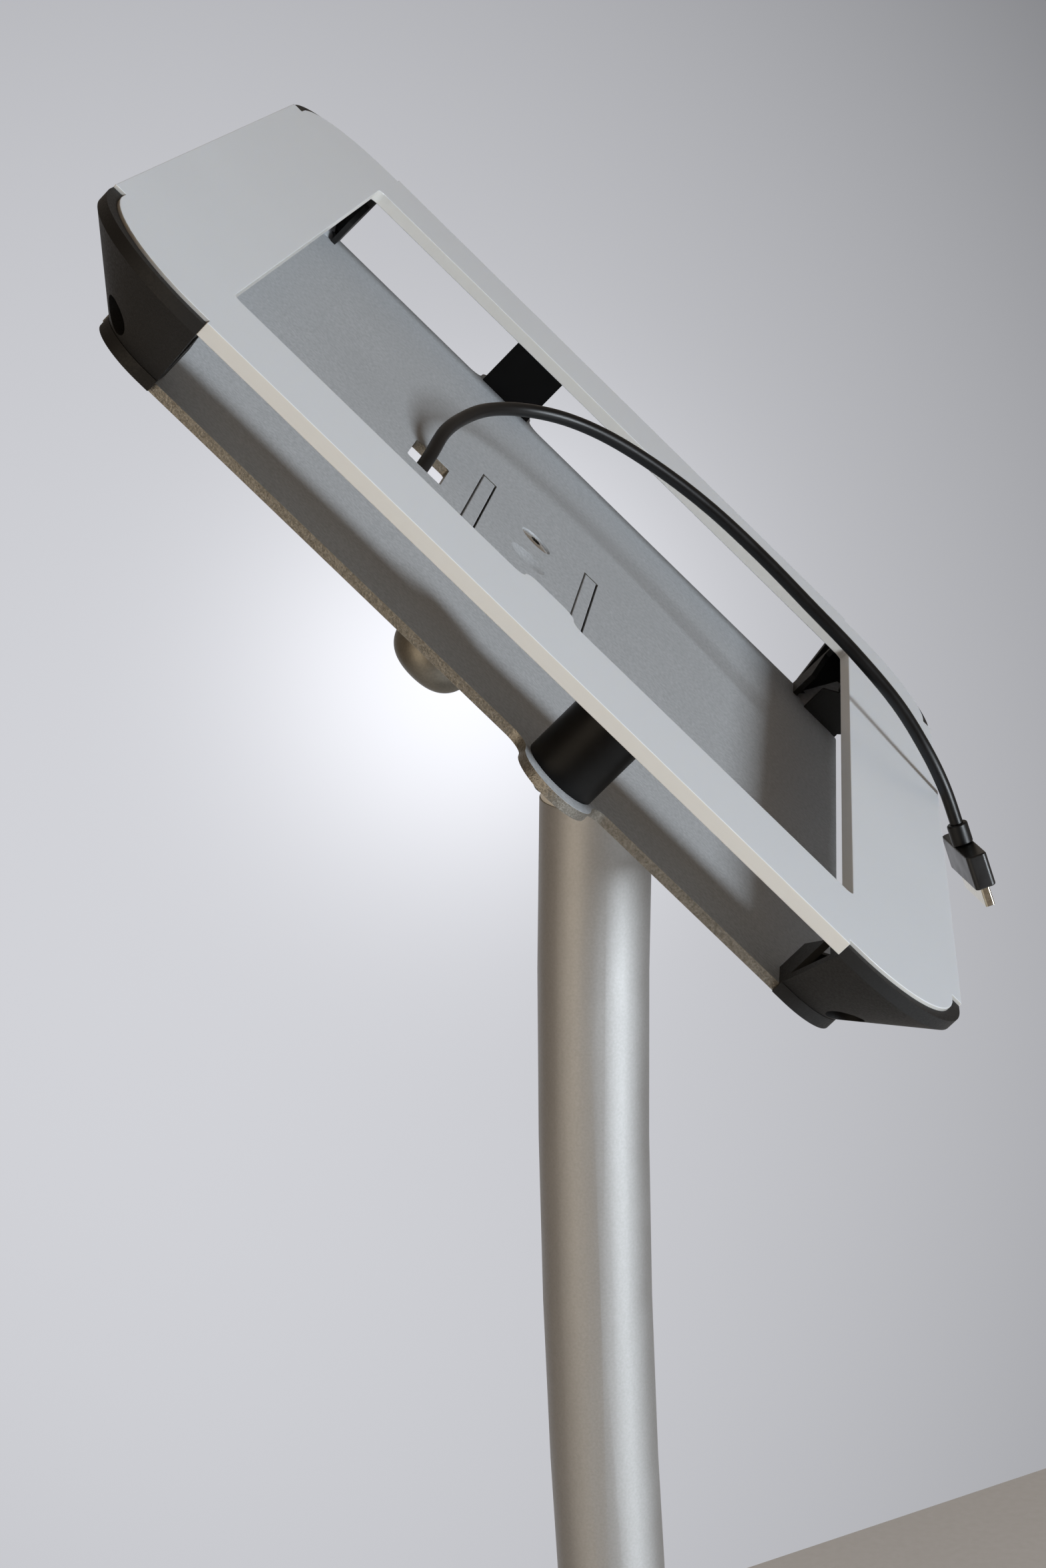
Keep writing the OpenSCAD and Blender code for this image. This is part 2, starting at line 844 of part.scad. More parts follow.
module slide_washer() {
    color([0.9, 0.9, 0.86])
        at_head()
            translate([0, 0, hub_top])
                linear_extrude(slide_washer_t)
                    difference() {
                        circle(r = hub_r - washer_in, $fn = 72);
                        circle(r = swivel_bolt_d / 2 + bore_gap, $fn = 48);
                    }
}

module cup_washers() {
    color([0.6, 0.6, 0.6])
        at_head()
            for (k = [0, 1])
                translate([0, 0, cap_top + k * cup_washer_h])
                    linear_extrude(cup_washer_h)
                        difference() {
                            circle(r = cup_washer_r, $fn = 72);
                            circle(r = swivel_bolt_d / 2 + bore_gap, $fn = 48);
                        }
}

module domed_cap() {
    color([0.45, 0.43, 0.4])
        at_head()
            difference() {
                rotate_extrude($fn = 96) {
                    translate([0, cap_end + cap_round_r])
                        square([cap_r, cap_h - cap_round_r]);
                    translate([0, cap_end])
                        square([cap_r - cap_round_r, cap_round_r + eps]);
                    intersection() {
                        translate([cap_r - cap_round_r, cap_end + cap_round_r])
                            circle(r = cap_round_r, $fn = 64);
                        translate([0, cap_end])
                            square([cap_r, cap_round_r]);
                    }
                }
                translate([0, 0, bolt_end - over])
                    cylinder(d = swivel_bolt_d + bore_gap, h = cap_h, $fn = 48);
            }
}

// Tilt hinge

module at_tilt_axis() {
    at_head()
        translate([axis_reach, 0, axis_z])
            children();
}

module tilt_arm() {
    color([0.72, 0.72, 0.7])
        difference() {
            union() {
                at_head() {
                    translate([0, 0, hub_back])
                        cylinder(r = hub_r, h = hub_t, $fn = 96);
                    translate([0, -barrel_w / 2, hub_back])
                        cube([axis_reach, barrel_w, web_top - hub_back]);
                }
                at_tilt_axis()
                    ring_along_y(barrel_r, -barrel_w / 2, barrel_w / 2);
            }
            at_head()
                translate([0, 0, hub_back - over])
                    cylinder(d = swivel_bolt_d + 2 * bore_gap, h = hub_t + 2 * over, $fn = 48);
            at_tilt_axis() {
                ring_along_y(barrel_r + free_gap, -cheek_in, cheek_in);
                ring_along_y(tilt_bolt_d / 2 + bore_gap, -barrel_w, barrel_w);
                ring_along_y(tilt_head_d / 2 + soft_gap, barrel_w / 2 - tilt_pocket_h, barrel_w);
                ring_along_y(tilt_head_d / 2 + soft_gap, -barrel_w, tilt_pocket_h - barrel_w / 2);
            }
        }
}

module tilt_bolt() {
    color([0.5, 0.5, 0.5])
        at_tilt_axis()
            difference() {
                union() {
                    ring_along_y(tilt_bolt_d / 2, -tilt_seat, tilt_seat + tilt_head_h);
                    ring_along_y(tilt_head_d / 2, -tilt_seat - tilt_head_h, -tilt_seat);
                }
                translate([0, -tilt_seat - tilt_head_h + tilt_key_h, 0])
                    rotate([90, 0, 0])
                        linear_extrude(tilt_key_h + over)
                            polygon(hexagon(tilt_key_af));
            }
}

module tilt_nut() {
    color([0.5, 0.5, 0.5])
        at_tilt_axis()
            difference() {
                ring_along_y(tilt_head_d / 2, tilt_seat, tilt_seat + tilt_head_h);
                ring_along_y(tilt_bolt_d / 2 + bore_gap / 2, 0, barrel_w);
                translate([-barrel_w / 2, tilt_seat + tilt_head_h - nut_slot_h, -nut_slot_w / 2])
                    cube([barrel_w, nut_slot_h + over, nut_slot_w]);
            }
}

module friction_washers() {
    color([0.85, 0.85, 0.82])
        at_tilt_axis()
            for (y0 = [-cheek_in, lug_t / 2])
                difference() {
                    ring_along_y(barrel_r - 2 * washer_in, y0, y0 + friction_washer_t);
                    ring_along_y(tilt_bolt_d / 2 + bore_gap, y0 - over, y0 + friction_washer_t + over);
                }
}

// Frame of the post's end: zero on the tilt axis and z along the bow
module at_post_end() {
    translate([axis_world_x, 0, axis_world_z])
        rotate([0, bow_top_angle, 0])
            children();
}

module hinge_plug() {
    color([0.35, 0.34, 0.32])
        difference() {
            union() {
                bow(bore_r - bore_gap, plug_low_angle, plug_high_angle);
                at_post_end() {
                    translate([0, 0, -ring_top_drop])
                        cylinder(r = plug_flange_r, h = plug_flange_t, $fn = 96);
                    ring_along_y(barrel_r - cope_gap, -lug_t / 2, lug_t / 2);
                    translate([cope_gap - barrel_r, -lug_t / 2, -ring_top_drop + eps])
                        cube([2 * (barrel_r - cope_gap), lug_t, ring_top_drop - eps]);
                }
            }
            at_tilt_axis()
                ring_along_y(tilt_bolt_d / 2 + bore_gap, -barrel_w, barrel_w);
        }
}

module post_end_ring() {
    color([0.85, 0.84, 0.8])
        at_post_end()
            translate([0, 0, -post_top_drop])
                linear_extrude(end_ring_h)
                    difference() {
                        circle(r = post_d / 2 - soft_gap, $fn = 96);
                        circle(r = bore_r, $fn = 96);
                    }
}

// Post

module post() {
    color([0.66, 0.65, 0.62])
        difference() {
            bow(post_d / 2, bow_low_angle, bow_top_angle);
            bow(bore_r, bow_low_angle - 1, bow_top_angle + 0.5);
            at_post_end()
                translate([-post_d, -post_d, -post_top_drop])
                    cube(2 * post_d);
            translate([post_foot_x - post_d, -post_d, base_top - 2 * post_d])
                cube([4 * post_d, 2 * post_d, 2 * post_d]);
        }
}

// Base

module at_foot() {
    translate([post_foot_x, 0, 0])
        children();
}

module base_collar() {
    color([0.7, 0.7, 0.68])
        difference() {
            union() {
                at_foot()
                    translate([0, 0, base_top])
                        cylinder(d = flange_d, h = flange_t, $fn = 120);
                difference() {
                    bow(sleeve_r, bow_low_angle - 1, sleeve_top_angle);
                    at_foot()
                        translate([-flange_d, -flange_d, base_top - 2 * flange_d])
                            cube([2 * flange_d, 2 * flange_d, 2 * flange_d + flange_t / 2]);
                }
            }
            bow(post_d / 2 + bore_gap, bow_low_angle - 1, sleeve_top_angle + 0.5);
            at_foot()
                for (k = [0:3])
                    rotate(45 + 90 * k)
                        translate([flange_screw_pcd / 2, 0, base_top - over])
                            cylinder(d = flange_screw_d + 2 * soft_gap, h = flange_t + 2 * over, $fn = 32);
            translate([0, 0, set_screw_h])
                rotate([-90, 0, 0])
                    translate([set_screw_x, 0, 0])
                        cylinder(d = set_screw_d + bore_gap, h = sleeve_r + 2 * over, $fn = 32);
        }
}

module collar_screws() {
    color([0.3, 0.3, 0.3])
        at_foot()
            for (k = [0:3])
                rotate(45 + 90 * k)
                    translate([flange_screw_pcd / 2, 0, 0]) {
                        translate([0, 0, base_top + flange_t])
                            difference() {
                                cylinder(d = flange_head_d, h = flange_head_h, $fn = 48);
                                translate([0, 0, flange_head_h - flange_key_h])
                                    linear_extrude(flange_key_h + over)
                                        polygon(hexagon(flange_key_af));
                            }
                        translate([0, 0, foot_t + flange_screw_short])
                            cylinder(d = flange_screw_d, h = base_t + flange_t - flange_screw_short, $fn = 32);
                    }
}

module collar_set_screw() {
    color([0.3, 0.3, 0.3])
        translate([set_screw_x, 0, set_screw_h])
            rotate([-90, 0, 0])
                translate([0, 0, post_d / 2])
                    difference() {
                        cylinder(d = set_screw_d, h = sleeve_wall - set_screw_sunk, $fn = 32);
                        translate([0, 0, set_screw_web])
                            linear_extrude(sleeve_wall)
                                polygon(hexagon(set_screw_key_af));
                    }
}

module base_plate() {
    color([0.35, 0.35, 0.36])
        difference() {
            translate([0, 0, foot_t])
                linear_extrude(base_t)
                    difference() {
                        rounded_rect(base_side, base_side, base_corner_r);
                        for (i = [-1, 1], j = [-1, 1])
                            translate([i * floor_hole_pitch / 2, j * floor_hole_pitch / 2])
                                circle(d = floor_hole_d, $fn = 48);
                    }
            at_foot()
                for (k = [0:3])
                    rotate(45 + 90 * k)
                        translate([flange_screw_pcd / 2, 0, foot_t - over])
                            cylinder(d = flange_screw_d + bore_gap, h = base_t + 2 * over, $fn = 32);
        }
}

module foot_pad(i, j) {
    color([0.08, 0.08, 0.08])
        translate([i * foot_pitch / 2, j * foot_pitch / 2, 0])
            cylinder(d = foot_d, h = foot_t, $fn = 64);
}

module foot_front_left() {
    foot_pad(1, -1);
}

module foot_front_right() {
    foot_pad(1, 1);
}

module foot_rear_left() {
    foot_pad(-1, -1);
}

module foot_rear_right() {
    foot_pad(-1, 1);
}

// Cable

// Clip on the tray's back, with a square seat for the cable's end
module cable_clip() {
    start = cable_route[0];
    color([0.15, 0.15, 0.15])
        at_head()
            translate([start[0] - clip_wid / 2, start[1] - clip_len, start[2] - clip_drop])
                cube([clip_wid, clip_len, tray_back - start[2] + clip_drop]);
}

function unit(v) = v / norm(v);

// Point of a smooth curve through four neighbouring points, between the middle two
function smooth(p, i, t) =
    let (
        a = p[max(i - 1, 0)],
        b = p[i],
        c = p[i + 1],
        d = p[min(i + 2, len(p) - 1)]
    )
    0.5 * (2 * b + (c - a) * t + (2 * a - 5 * b + 4 * c - d) * t * t + (3 * b - a - 3 * c + d) * t * t * t);

cable_line = [
    for (i = [0:len(cable_route) - 2], k = [0:cable_steps - 1]) smooth(cable_route, i, k / cable_steps),
    cable_route[len(cable_route) - 1]
];
cable_last = len(cable_line) - 1;
boot_dir = unit([cos(plug_pitch), 0, -sin(plug_pitch)]);

// Direction of the cable at a ring; the first leaves the clip square and the last meets the boot square
function cable_dir(i) =
    i == 0 ? [0, 1, 0] :
    i == cable_last ? boot_dir :
    unit(cable_line[i + 1] - cable_line[i - 1]);

// Side vectors carried along the cable so that the rings don't twist
function carry(v, d) = unit(v - (v * d) * d);
function side_list(i, v) = i > cable_last ? [] : concat([carry(v, cable_dir(i))],
    side_list(i + 1, carry(v, cable_dir(i))));
cable_sides_list = side_list(0, [0, 0, 1]);

module cable() {
    rings = [
        for (i = [0:cable_last])
            let (u = cable_sides_list[i], w = cross(cable_dir(i), u))
            for (k = [0:cable_sides - 1])
                cable_line[i] + cable_d / 2 * (cos(360 * k / cable_sides) * u + sin(360 * k / cable_sides) * w)
    ];
    faces = concat(
        [[for (k = [0:cable_sides - 1]) k]],
        [for (i = [0:cable_last - 1], k = [0:cable_sides - 1])
            let (a = i * cable_sides, b = a + cable_sides, n = (k + 1) % cable_sides)
            [a + k, b + k, b + n, a + n]],
        [[for (k = [cable_sides - 1:-1:0]) cable_last * cable_sides + k]]
    );
    color([0.05, 0.05, 0.05])
        at_head()
            polyhedron(points = rings, faces = faces, convexity = 10);
}

// Frame of the plug: z runs out along the plug from the cable's end
module at_plug() {
    at_head()
        translate(cable_line[cable_last])
            rotate([0, 90 + plug_pitch, 0])
                children();
}

module cable_boot() {
    color([0.05, 0.05, 0.05])
        at_plug()
            cylinder(d = boot_d, h = boot_len, $fn = 48);
}

module at_housing() {
    at_plug()
        translate([0, 0, boot_len])
            rotate([0, 0, -plug_roll])
                children();
}

module plug_housing() {
    color([0.07, 0.07, 0.07])
        at_housing()
            linear_extrude(plug_len)
                rounded_rect(plug_t, plug_wid, plug_corner_r);
}

module plug_tip() {
    color([0.75, 0.73, 0.66])
        at_housing()
            translate([0, 0, plug_len])
                linear_extrude(tip_len)
                    rounded_rect(tip_t, tip_wid, tip_corner_r);
}

face_plate();
tray();
corner_near_top();
corner_near_bottom();
corner_far_top();
corner_far_bottom();
standoff_near();
standoff_far();
corner_screws();
standoff_screws();
swivel_plate();
swivel_plate_screws();
swivel_bolt();
slide_washer();
cup_washers();
domed_cap();
tilt_arm();
tilt_bolt();
friction_washers();
tilt_nut();
hinge_plug();
post_end_ring();
post();
base_collar();
collar_screws();
collar_set_screw();
base_plate();
foot_front_left();
foot_front_right();
foot_rear_left();
foot_rear_right();
cable_clip();
cable();
cable_boot();
plug_housing();
plug_tip();
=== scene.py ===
import json
import math
import bmesh
import bpy
from mathutils import Matrix, Vector


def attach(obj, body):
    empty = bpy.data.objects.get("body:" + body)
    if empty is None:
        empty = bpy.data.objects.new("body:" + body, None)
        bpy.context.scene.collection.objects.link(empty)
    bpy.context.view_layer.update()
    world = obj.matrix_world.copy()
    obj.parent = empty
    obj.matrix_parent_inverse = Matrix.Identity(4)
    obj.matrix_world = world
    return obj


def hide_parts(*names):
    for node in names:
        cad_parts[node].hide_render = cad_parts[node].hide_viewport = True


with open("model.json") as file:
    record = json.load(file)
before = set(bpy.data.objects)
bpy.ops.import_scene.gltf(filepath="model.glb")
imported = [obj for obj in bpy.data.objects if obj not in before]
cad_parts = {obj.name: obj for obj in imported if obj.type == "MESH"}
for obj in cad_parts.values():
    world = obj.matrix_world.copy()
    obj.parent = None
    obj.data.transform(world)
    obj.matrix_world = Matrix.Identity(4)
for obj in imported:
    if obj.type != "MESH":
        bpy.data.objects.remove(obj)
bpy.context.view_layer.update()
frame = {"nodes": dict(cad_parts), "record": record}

MM = 0.001
HEAD_TILT = math.radians(44)
HEAD = Matrix.Translation((-0.0500029, 0, 1.020)) @ Matrix.Rotation(HEAD_TILT, 4, "Y")
HEAD_NORMAL = (math.sin(HEAD_TILT), 0, math.cos(HEAD_TILT))


# Camera, fitted to the photograph's perspective

CAMERA_AT = Vector((0.0002, -0.7315, 1.1546))
CAMERA_RIGHT = Vector((0.9961, 0.0876, 0.0))
CAMERA_UP = Vector((-0.0230, 0.2610, 0.9651))
CAMERA_AHEAD = Vector((-0.0845, 0.9614, -0.2620))
FOCAL_PX = 5100
SENSOR_MM = 36
PHOTO_HEIGHT = 2350


def make_camera():
    lens = bpy.data.cameras.new("camera")
    lens.sensor_fit = "VERTICAL"
    lens.sensor_height = SENSOR_MM
    lens.lens = SENSOR_MM * FOCAL_PX / PHOTO_HEIGHT
    lens.clip_start = 0.02
    lens.clip_end = 200
    camera = bpy.data.objects.new("camera", lens)
    bpy.context.scene.collection.objects.link(camera)
    turn = Matrix((CAMERA_RIGHT, CAMERA_UP, -CAMERA_AHEAD)).transposed()
    camera.matrix_world = Matrix.Translation(CAMERA_AT) @ turn.to_4x4()
    bpy.context.scene.camera = camera


make_camera()


# Colours and node helpers

def colour(hex_text):
    """An sRGB hex value as the linear colour that the shaders work in."""
    parts = [int(hex_text[i:i + 2], 16) / 255 for i in (1, 3, 5)]
    return tuple(p / 12.92 if p <= 0.04045 else ((p + 0.055) / 1.055) ** 2.4 for p in parts) + (1.0,)


def add(tree, kind, links=None, **settings):
    """Adds a shader node: settings are its own properties, links its sockets' values or sources."""
    node = tree.nodes.new(kind)
    for key, value in settings.items():
        setattr(node, key, value)
    for key, value in (links or {}).items():
        if isinstance(value, bpy.types.NodeSocket):
            tree.links.new(value, node.inputs[key])
        else:
            node.inputs[key].default_value = value
    return node


def new_material(name):
    material = bpy.data.materials.new(name)
    material.use_nodes = True
    tree = material.node_tree
    tree.nodes.clear()
    surface = add(tree, "ShaderNodeBsdfPrincipled")
    output = add(tree, "ShaderNodeOutputMaterial")
    tree.links.new(surface.outputs[0], output.inputs["Surface"])
    return material, tree, surface


def place(tree):
    return add(tree, "ShaderNodeTexCoord").outputs["Object"]


def noise(tree, size_mm, detail=2.0, roughness=0.5):
    """Noise whose lumps are about size_mm across on the object."""
    return add(tree, "ShaderNodeTexNoise", {
        "Vector": place(tree), "Scale": 1000 / size_mm, "Detail": detail, "Roughness": roughness,
    }).outputs["Fac"]


def mix(tree, share, first, second):
    node = add(tree, "ShaderNodeMix", data_type="RGBA")
    for socket, value in ((node.inputs[0], share), (node.inputs[6], first), (node.inputs[7], second)):
        if isinstance(value, bpy.types.NodeSocket):
            tree.links.new(value, socket)
        else:
            socket.default_value = value
    return node.outputs[2]


def spread(tree, value, low, high, from_low=0.3, from_high=0.7):
    """Maps a noise value onto a range."""
    return add(tree, "ShaderNodeMapRange", {
        "Value": value, "From Min": from_low, "From Max": from_high, "To Min": low, "To Max": high,
    }).outputs["Result"]


def bump(tree, height, depth_mm, strength=1.0, normal=None):
    links = {"Height": height, "Distance": depth_mm * MM, "Strength": strength}
    if normal is not None:
        links["Normal"] = normal
    return add(tree, "ShaderNodeBump", links).outputs["Normal"]


def edge_share(tree, axis, low=0.35, high=0.6):
    """1 on faces that stand square to a sheet's own normal, which are its cut edges, and 0 on its faces."""
    normal = add(tree, "ShaderNodeTexCoord").outputs["Normal"]
    dot = add(tree, "ShaderNodeVectorMath", {0: normal, 1: axis}, operation="DOT_PRODUCT").outputs["Value"]
    size = add(tree, "ShaderNodeMath", {0: dot}, operation="ABSOLUTE").outputs[0]
    return spread(tree, size, 1.0, 0.0, low, high)


# Materials

def opal_acrylic():
    """Cast opal acrylic, laser cut: satin cool-white faces, creamy matt edges where light soaks in."""
    material, tree, surface = new_material("opal_acrylic")
    edge = edge_share(tree, HEAD_NORMAL)
    cloud = spread(tree, noise(tree, 60, 1.0), 0.0, 1.0, 0.0, 1.0)
    face = mix(tree, cloud, colour("#D9DDE2"), colour("#DFE3E7"))
    tree.links.new(mix(tree, edge, face, colour("#D4D2CD")), surface.inputs["Base Color"])
    surface.inputs["Roughness"].default_value = 0.26
    surface.inputs["IOR"].default_value = 1.49
    surface.inputs["Subsurface Weight"].default_value = 0.25
    surface.inputs["Subsurface Radius"].default_value = (1.0, 0.9, 0.75)
    surface.inputs["Subsurface Scale"].default_value = 1.2 * MM
    return material


PEEL_DEPTH_MM = 0.08
TORN_GRAIN_MM, TORN_DEPTH_MM = 0.4, 0.1
COAT_METALLIC, EDGE_METALLIC = 0.15, 0.9
COAT_ROUGHNESS, EDGE_ROUGHNESS = 0.62, 0.4


def textured_coat(name, pale, deep, edge_axis=None):
    """Powder coat with a fine orange-peel grain; a cut edge shows the bare torn metal."""
    material, tree, surface = new_material(name)
    grain = noise(tree, 0.8, 3.0, 0.6)
    blotch = noise(tree, 35, 2.0)
    speck = spread(tree, grain, 0.0, 1.0, 0.35, 0.65)
    body = mix(tree, speck, colour(deep), colour(pale))
    body = mix(tree, spread(tree, blotch, 0.0, 0.25), body, colour(deep))
    peel = bump(tree, grain, PEEL_DEPTH_MM, 0.5)
    surface.inputs["Specular IOR Level"].default_value = 0.3
    if edge_axis is None:
        tree.links.new(body, surface.inputs["Base Color"])
        surface.inputs["Metallic"].default_value = COAT_METALLIC
        surface.inputs["Roughness"].default_value = COAT_ROUGHNESS
        tree.links.new(peel, surface.inputs["Normal"])
        return material
    edge = edge_share(tree, edge_axis)
    torn = noise(tree, TORN_GRAIN_MM, 4.0, 0.6)
    bare = mix(tree, spread(tree, torn, 0.0, 1.0), colour("#77746D"), colour("#A6A39C"))
    tree.links.new(mix(tree, edge, body, bare), surface.inputs["Base Color"])
    metallic = spread(tree, edge, COAT_METALLIC, EDGE_METALLIC, 0.0, 1.0)
    roughness = spread(tree, edge, COAT_ROUGHNESS, EDGE_ROUGHNESS, 0.0, 1.0)
    tree.links.new(metallic, surface.inputs["Metallic"])
    tree.links.new(roughness, surface.inputs["Roughness"])
    on_edge = spread(tree, edge, 0.0, 1.0, 0.0, 1.0)
    tree.links.new(bump(tree, torn, TORN_DEPTH_MM, on_edge, peel), surface.inputs["Normal"])
    return material


def moulded_black():
    """Injection-moulded black ABS: matt spark-eroded skin, faint greyish bloom."""
    material, tree, surface = new_material("moulded_black_abs")
    spark = noise(tree, 0.5, 3.0, 0.6)
    bloom = spread(tree, noise(tree, 14, 3.0), 0.0, 1.0)
    tree.links.new(mix(tree, bloom, colour("#0D0D0E"), colour("#151515")), surface.inputs["Base Color"])
    tree.links.new(spread(tree, spark, 0.5, 0.66), surface.inputs["Roughness"])
    surface.inputs["IOR"].default_value = 1.54
    surface.inputs["Specular IOR Level"].default_value = 0.35
    tree.links.new(bump(tree, spark, 0.06, 0.6), surface.inputs["Normal"])
    return material


def smooth_plastic(name, deep, pale, rough, grain_mm, specular=0.5):
    """Turned or moulded plastic: smooth, with soft highlights and a faint uneven sheen."""
    material, tree, surface = new_material(name)
    grain = noise(tree, grain_mm, 2.0)
    tree.links.new(mix(tree, grain, colour(deep), colour(pale)), surface.inputs["Base Color"])
    tree.links.new(spread(tree, noise(tree, 6, 2.0), rough - 0.04, rough + 0.05), surface.inputs["Roughness"])
    surface.inputs["IOR"].default_value = 1.5
    surface.inputs["Specular IOR Level"].default_value = specular
    tree.links.new(bump(tree, grain, 0.015, 0.5), surface.inputs["Normal"])
    return material


def metal(name, pale, deep, rough, grain_mm, depth_mm, strength=0.5):
    """Bare or anodised metal with a fine blasted grain."""
    material, tree, surface = new_material(name)
    grain = noise(tree, grain_mm, 3.0, 0.6)
    tint = mix(tree, spread(tree, grain, 0.0, 1.0), colour(deep), colour(pale))
    tree.links.new(tint, surface.inputs["Base Color"])
    surface.inputs["Metallic"].default_value = 1.0
    sheen = spread(tree, noise(tree, 18, 2.0), rough - 0.03, rough + 0.04)
    tree.links.new(sheen, surface.inputs["Roughness"])
    tree.links.new(bump(tree, grain, depth_mm, strength), surface.inputs["Normal"])
    return material


def rubber():
    """Black nitrile rubber: matt, dusty, slightly grey where it wears."""
    material, tree, surface = new_material("black_rubber")
    dust = spread(tree, noise(tree, 4, 3.0), 0.0, 1.0)
    tree.links.new(mix(tree, dust, colour("#161616"), colour("#2A2927")), surface.inputs["Base Color"])
    surface.inputs["Roughness"].default_value = 0.8
    tree.links.new(bump(tree, noise(tree, 0.9, 2.0), 0.08, 0.5), surface.inputs["Normal"])
    return material


ACRYLIC = opal_acrylic()
TRAY_COAT = textured_coat("grey_powder_coat_sheared", "#B4B7BA", "#9EA1A4", HEAD_NORMAL)
PLATE_COAT = textured_coat("grey_powder_coat", "#B4B7BA", "#9EA1A4")
BASE_COAT = textured_coat("graphite_powder_coat", "#7F8284", "#6A6D6F")
BLACK_ABS = moulded_black()
BLACK_ACETAL = smooth_plastic("turned_black_acetal", "#070707", "#0D0D0E", 0.42, 3, 0.2)
CABLE_PVC = smooth_plastic("black_pvc_jacket", "#050506", "#0A0A0B", 0.38, 2, 0.4)
PLUG_ABS = smooth_plastic("moulded_plug_black", "#0B0B0C", "#121213", 0.34, 1, 0.6)
SATIN_TUBE = metal("satin_anodised_tube", "#BFBFBF", "#B5B5B4", 0.54, 0.6, 0.02)
SATIN_CAST = metal("satin_machined_alloy", "#CFCDC8", "#BDBAB4", 0.38, 0.7, 0.03)
CAP_METAL = metal("turned_nickel_bronze", "#8E8A80", "#807C74", 0.46, 0.5, 0.01)
BRIGHT_ZINC = metal("bright_zinc", "#CFCFCD", "#BDBDBB", 0.14, 0.8, 0.005)
BLACK_OXIDE = metal("black_oxide_steel", "#3A3A3B", "#29292A", 0.42, 0.5, 0.02)
PLATED_TIP = metal("plated_contact_metal", "#E4DFD0", "#CFC8B4", 0.22, 0.8, 0.01)
RUBBER = rubber()
WHITE_NYLON = smooth_plastic("white_nylon", "#D9D7D0", "#E4E2DB", 0.45, 3)


# Pieces from the frame's nodes, with their edges eased as the real ones are

BODY_OF = {node: body for body, nodes in frame["record"]["behaviour"]["bodies"].items() for node in nodes}
SHADE_LIMIT = 14     # degrees: a dish's rim shows as an edge, and the facets of a round form don't
BEVEL_LIMIT = 32     # degrees: edges sharper than this are rounded
POST_BEVEL_LIMIT = 40
WELD_MM = 0.002
FLAT_LIMIT = 0.4     # degrees: facets closer than this are joined into one face


def ease(node, material, width_mm, segments=2, angle=BEVEL_LIMIT):
    """A copy of a frame node whose sharp edges carry the small radius of the real piece."""
    source = frame["nodes"][node]
    mesh = source.data.copy()
    form = bmesh.new()
    form.from_mesh(mesh)
    bmesh.ops.remove_doubles(form, verts=form.verts, dist=WELD_MM * MM)
    limit = math.radians(FLAT_LIMIT)
    bmesh.ops.dissolve_limit(form, angle_limit=limit, verts=form.verts, edges=form.edges)
    form.to_mesh(mesh)
    form.free()
    if mesh.attributes.get("custom_normal"):
        mesh.attributes.remove(mesh.attributes["custom_normal"])
    for polygon in mesh.polygons:
        polygon.use_smooth = True
    mesh.set_sharp_from_angle(angle=math.radians(SHADE_LIMIT))
    piece = bpy.data.objects.new(node + "_eased", mesh)
    bpy.context.scene.collection.objects.link(piece)
    mesh.materials.clear()
    mesh.materials.append(material)
    rounding = piece.modifiers.new("eased_edges", "BEVEL")
    rounding.width = width_mm * MM
    rounding.segments = segments
    rounding.limit_method = "ANGLE"
    rounding.angle_limit = math.radians(angle)
    rounding.harden_normals = True
    rounding.use_clamp_overlap = True
    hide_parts(node)
    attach(piece, BODY_OF[node])
    return piece


# Cable: the part's own route, in millimetres on the head

CABLE_ROUTE = [
    (-30.5, -16, -23), (-30.5, -12, -23), (-30.5, -5, -21.5), (-31, 2, -18), (-32, 12, -14),
    (-31, 22, -11), (-28, 33, -7.5), (-22, 42.5, -3.5), (-13, 49, 1), (-2, 53, 4.5),
    (12, 56, 7), (27, 57.5, 8.5), (43, 57, 9), (59, 54.5, 9), (74, 51.5, 9),
    (89, 48.5, 8), (101, 45.5, 5.5), (110.5, 44.5, 2.3), (119, 44.5, -1.8),
]
CABLE_D = 3.2
STEPS_PER_SPAN = 6


def route_point(points, i, t):
    """A smooth curve through four neighbouring points, between the middle two."""
    a = Vector(points[max(i - 1, 0)])
    b = Vector(points[i])
    c = Vector(points[i + 1])
    d = Vector(points[min(i + 2, len(points) - 1)])
    bend = 2 * a - 5 * b + 4 * c - d
    twist = 3 * b - a - 3 * c + d
    return 0.5 * (2 * b + (c - a) * t + bend * t ** 2 + twist * t ** 3)


def cable_points():
    spans = len(CABLE_ROUTE) - 1
    steps = [(i, k / STEPS_PER_SPAN) for i in range(spans) for k in range(STEPS_PER_SPAN)]
    line = [route_point(CABLE_ROUTE, i, t) for i, t in steps]
    line.append(Vector(CABLE_ROUTE[-1]))
    return [HEAD @ (p * MM) for p in line]


def make_cable():
    points = cable_points()
    curve = bpy.data.curves.new("cable", "CURVE")
    curve.dimensions = "3D"
    curve.bevel_depth = CABLE_D / 2 * MM
    curve.bevel_resolution = 6
    curve.use_fill_caps = True
    spline = curve.splines.new("POLY")
    spline.points.add(len(points) - 1)
    for slot_point, point in zip(spline.points, points):
        slot_point.co = (*point, 1)
    spline.use_smooth = True
    curve.materials.append(CABLE_PVC)
    cable = bpy.data.objects.new("dock_cable", curve)
    bpy.context.scene.collection.objects.link(cable)
    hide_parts("cable")
    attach(cable, "head")
    length = sum((b - a).length for a, b in zip(points, points[1:]))
    return cable, points[0], length


cable, cable_exit, cable_length = make_cable()
boot = ease("cable_boot", CABLE_PVC, 0.5, 3)
housing = ease("plug_housing", PLUG_ABS, 0.4, 2)
tip = ease("plug_tip", PLATED_TIP, 0.12, 2)

